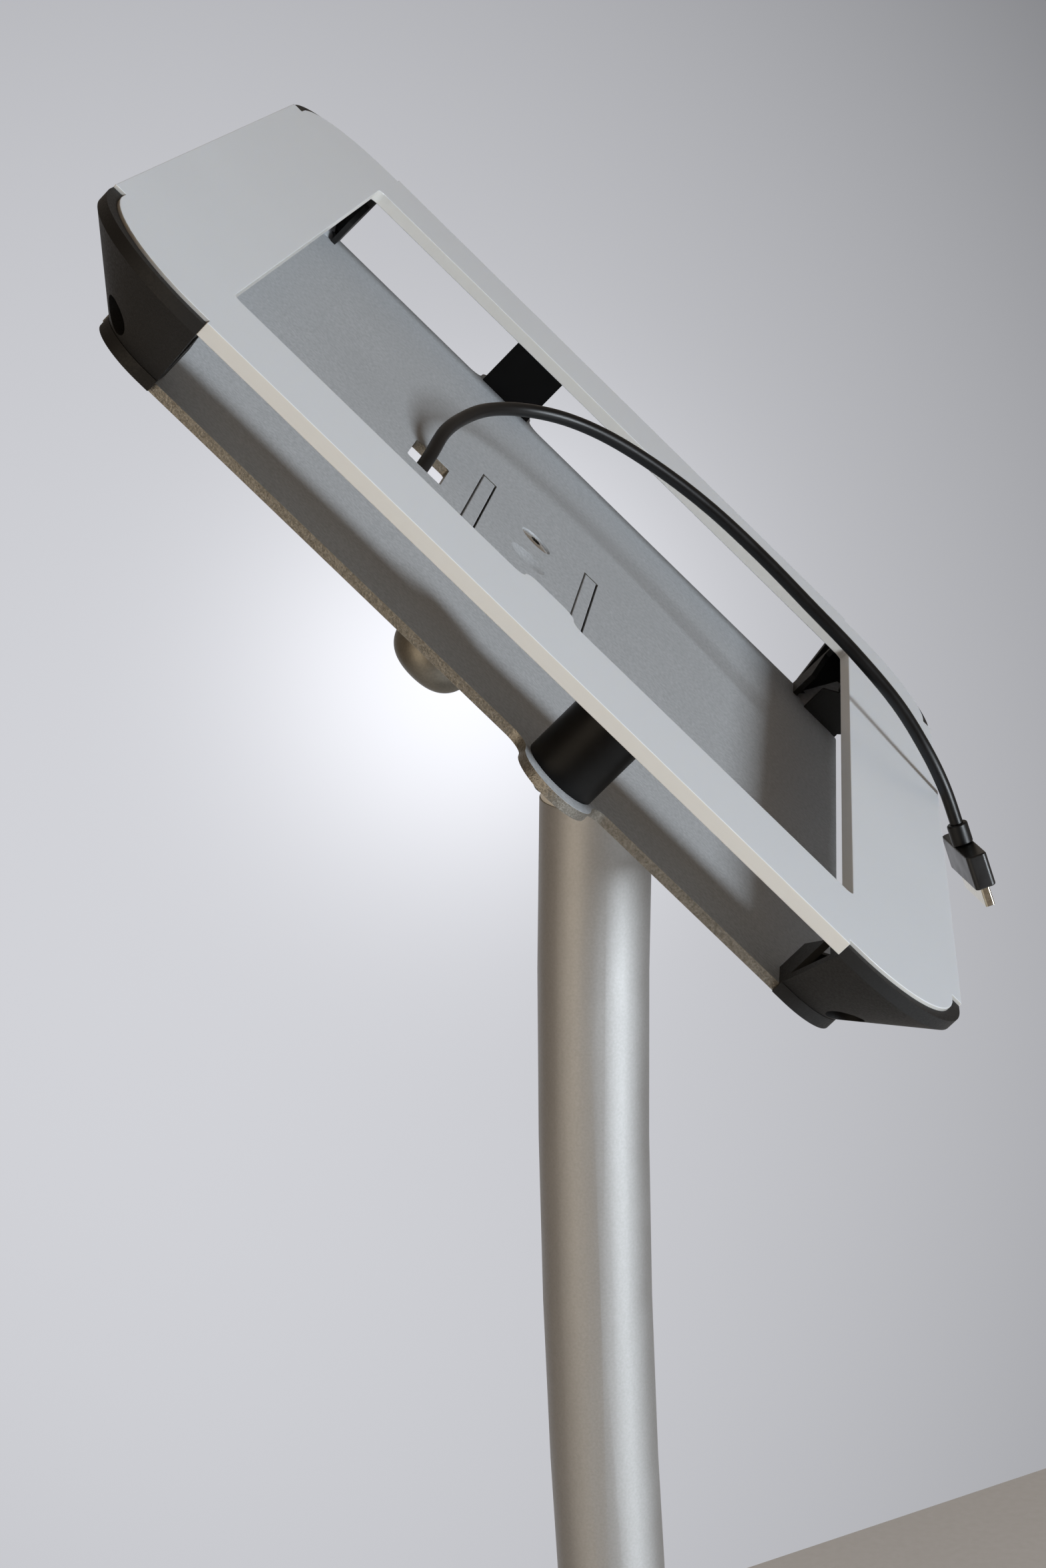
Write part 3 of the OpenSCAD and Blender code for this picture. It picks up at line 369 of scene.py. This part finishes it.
ease("face_plate", ACRYLIC, 0.15, 2)
ease("tray", TRAY_COAT, 0.25, 2)
ease("swivel_plate", PLATE_COAT, 0.3, 2)
for corner in ("corner_near_top", "corner_near_bottom", "corner_far_top", "corner_far_bottom"):
    ease(corner, BLACK_ABS, 0.25, 2)
for standoff in ("standoff_near", "standoff_far"):
    ease(standoff, BLACK_ACETAL, 0.3, 3)
ease("domed_cap", CAP_METAL, 0.3, 2)
ease("tilt_arm", SATIN_CAST, 0.5, 2)
ease("base_collar", SATIN_CAST, 0.6, 2)
ease("base_plate", BASE_COAT, 0.8, 3)
ease("post", SATIN_TUBE, 0.3, 2, POST_BEVEL_LIMIT)
ease("cable_clip", BLACK_ABS, 0.6, 3)
for pad in ("foot_front_left", "foot_front_right", "foot_rear_left", "foot_rear_right"):
    ease(pad, RUBBER, 0.6, 3)
for screws in ("corner_screws", "standoff_screws", "collar_screws", "collar_set_screw"):
    ease(screws, BLACK_OXIDE, 0.25, 2)
for bright in ("swivel_plate_screws", "swivel_bolt", "tilt_bolt", "tilt_nut", "cup_washers"):
    ease(bright, BRIGHT_ZINC, 0.12, 2)
for nylon in ("slide_washer", "friction_washers"):
    ease(nylon, WHITE_NYLON, 0.1, 2)
ease("post_end_ring", WHITE_NYLON, 0.25, 2)
ease("hinge_plug", CAP_METAL, 0.3, 2)


# Studio

# The paper's brightness is painted light: one smooth formula in u and v, a view direction's share across and
# up.
# It was fitted to the photograph's background, and a painted pool of light, the soft glow behind the stand,
# is added to it.
BACKDROP_TINT = (0.99, 1.0, 1.057)
VIEW_EDGE = 0.24
NEAREST_DEPTH = 0.2
LEVEL_MIDDLE = 0.6
LEVEL_ACROSS, LEVEL_UP = -0.71, -0.2445
BEND_ACROSS, BEND_UP, TWIST = -2.79, -1.94, -0.25
PAINTED_GLOW_ACROSS, PAINTED_GLOW_UP = -0.0166, 0.0334
PAINTED_GLOW_LEVEL, PAINTED_GLOW_FALL = 0.41, -285
SEAM_A = Vector((-0.032, 1.431, 0))
SEAM_B = Vector((0.186, 1.604, 0))
WALL_REACH = 30.0
FLOOR_REACH = 6.0
PAPER_LEFT = 1.25     # the paper ends here on the left, and the dark room shows in the tube beside it


def ground(name, corners, material):
    mesh = bpy.data.meshes.new(name)
    mesh.from_pydata([tuple(c) for c in corners], [], [tuple(range(len(corners)))])
    sheet = bpy.data.objects.new(name, mesh)
    bpy.context.scene.collection.objects.link(sheet)
    mesh.materials.append(material)


def value(tree, operation, first, second=None, third=None):
    links = {0: first}
    if second is not None:
        links[1] = second
    if third is not None:
        links[2] = third
    return add(tree, "ShaderNodeMath", links, operation=operation).outputs[0]


def clamped(tree, share):
    limits = {"Value": share, "Min": -VIEW_EDGE, "Max": VIEW_EDGE}
    return add(tree, "ShaderNodeClamp", limits).outputs[0]


def painted_light_backdrop():
    """Pale paper whose brightness, with a soft glow behind the stand, is painted light as the photograph has
    it.
    """
    material, tree, surface = new_material("backdrop_paper_painted_light")
    surface.inputs["Base Color"].default_value = colour("#C9CBD0")
    surface.inputs["Roughness"].default_value = 0.9
    at = add(tree, "ShaderNodeNewGeometry").outputs["Position"]
    ray = add(tree, "ShaderNodeVectorMath", {0: at, 1: tuple(CAMERA_AT)}, operation="SUBTRACT").outputs[0]
    along = {}
    for key, axis in (("u", CAMERA_RIGHT), ("v", CAMERA_UP), ("w", CAMERA_AHEAD)):
        dot = add(tree, "ShaderNodeVectorMath", {0: ray, 1: tuple(axis)}, operation="DOT_PRODUCT")
        along[key] = dot.outputs["Value"]
    depth = value(tree, "MAXIMUM", along["w"], NEAREST_DEPTH)
    u, v = [clamped(tree, value(tree, "DIVIDE", along[k], depth)) for k in ("u", "v")]
    # Painted light: the paper's brightness falls off across and up.
    level = value(tree, "MULTIPLY_ADD", u, LEVEL_ACROSS, LEVEL_MIDDLE)
    level = value(tree, "MULTIPLY_ADD", v, LEVEL_UP, level)
    level = value(tree, "MULTIPLY_ADD", value(tree, "MULTIPLY", v, v), BEND_UP, level)
    level = value(tree, "MULTIPLY_ADD", value(tree, "MULTIPLY", u, u), BEND_ACROSS, level)
    level = value(tree, "MULTIPLY_ADD", value(tree, "MULTIPLY", u, v), TWIST, level)
    # Painted light: a glow spot, the pool of light behind the stand.
    du = value(tree, "ADD", u, -PAINTED_GLOW_ACROSS)
    dv = value(tree, "ADD", v, -PAINTED_GLOW_UP)
    spot = value(tree, "MULTIPLY_ADD", du, du, value(tree, "MULTIPLY", dv, dv))
    glow = value(tree, "EXPONENT", value(tree, "MULTIPLY", spot, PAINTED_GLOW_FALL))
    level = value(tree, "MULTIPLY_ADD", glow, PAINTED_GLOW_LEVEL, level)
    # The painted light is an emission, not light falling on the paper.
    painted_light = add(tree, "ShaderNodeEmission", {"Color": (*BACKDROP_TINT, 1), "Strength": level})
    show_paper(tree, surface, painted_light)
    return material


def show_paper(tree, surface, painted_light):
    """Camera, mirror and see-through rays meet the paper's painted light, an emission; light bounces off the
    plain one.
    """
    rays = add(tree, "ShaderNodeLightPath").outputs
    mirrored = value(tree, "MAXIMUM", rays["Is Glossy Ray"], rays["Is Transmission Ray"])
    seen = value(tree, "MAXIMUM", rays["Is Camera Ray"], mirrored)
    either = add(tree, "ShaderNodeMixShader", {0: seen, 1: surface.outputs[0], 2: painted_light.outputs[0]})
    output = [n for n in tree.nodes if n.type == "OUTPUT_MATERIAL"][0]
    tree.links.new(either.outputs[0], output.inputs["Surface"])


def floor_material():
    """Pale matt floor with a faint fleck. The photograph shows only a corner of it."""
    material, tree, surface = new_material("pale_floor")
    fleck = spread(tree, noise(tree, 6, 4.0), 0.0, 1.0)
    tree.links.new(mix(tree, fleck, colour("#ECECEB"), colour("#F1F1F1")), surface.inputs["Base Color"])
    surface.inputs["Roughness"].default_value = 0.7
    return material


def make_ground():
    run = (SEAM_B - SEAM_A).normalized()
    back = Vector((-run.y, run.x, 0))
    left, right = SEAM_A - run * FLOOR_REACH, SEAM_A + run * FLOOR_REACH
    front = back * -FLOOR_REACH
    ground("floor", [left + front, right + front, right, left], floor_material())
    near, far = SEAM_A - run * PAPER_LEFT, SEAM_A + run * WALL_REACH
    beyond = back * WALL_REACH * 3
    ground("backdrop", [near, far, far + beyond, near + beyond], painted_light_backdrop())


make_ground()


HEAD_MIDDLE = Vector((0, 0, 0.95))


def soft_light(name, direction, distance, width, height, watts, tint):
    """A rectangular soft light, in metres and watts, that faces the head from the given direction."""
    lamp = bpy.data.lights.new(name, "AREA")
    lamp.shape = "RECTANGLE"
    lamp.size = width
    lamp.size_y = height
    lamp.energy = watts
    lamp.color = tint
    source = bpy.data.objects.new(name, lamp)
    bpy.context.scene.collection.objects.link(source)
    toward = Vector(direction).normalized()
    source.location = HEAD_MIDDLE + toward * distance
    source.rotation_euler = toward.to_track_quat("Z", "Y").to_euler()


soft_light("key_softbox", direction=(0.841, -0.52, 0.151), distance=2.4, width=0.9, height=0.9,
           watts=61.6, tint=(0.864, 0.934, 1.0))
soft_light("warm_room", direction=(-0.62, -0.78, 0.12), distance=2.6, width=1.6, height=2.2,
           watts=16.5, tint=(1.0, 0.86, 0.68))


ROOM_BEFORE = (0.129, 0.092, 0.064, 1)
ROOM_BEHIND = (0.238, 0.207, 0.176, 1)


def make_world():
    """A dim warm room that lights the stand, and pale paper where the camera looks past the studio."""
    world = bpy.data.worlds.new("studio")
    bpy.context.scene.world = world
    world.use_nodes = True
    tree = world.node_tree
    tree.nodes.clear()
    way = add(tree, "ShaderNodeTexCoord").outputs["Generated"]
    depth = add(tree, "ShaderNodeSeparateXYZ", {0: way}).outputs["Y"]
    behind = spread(tree, depth, 0.0, 1.0, -0.2, 0.6)
    room = mix(tree, behind, ROOM_BEFORE, ROOM_BEHIND)
    lit = add(tree, "ShaderNodeBackground", {"Color": room, "Strength": 1.0})
    shown = add(tree, "ShaderNodeBackground", {"Color": colour("#C9CBD0"), "Strength": 1.0})
    camera_ray = add(tree, "ShaderNodeLightPath").outputs["Is Camera Ray"]
    both = add(tree, "ShaderNodeMixShader", {0: camera_ray, 1: lit.outputs[0], 2: shown.outputs[0]})
    add(tree, "ShaderNodeOutputWorld", {"Surface": both.outputs[0]})


make_world()
bpy.context.scene.view_settings.view_transform = "Standard"
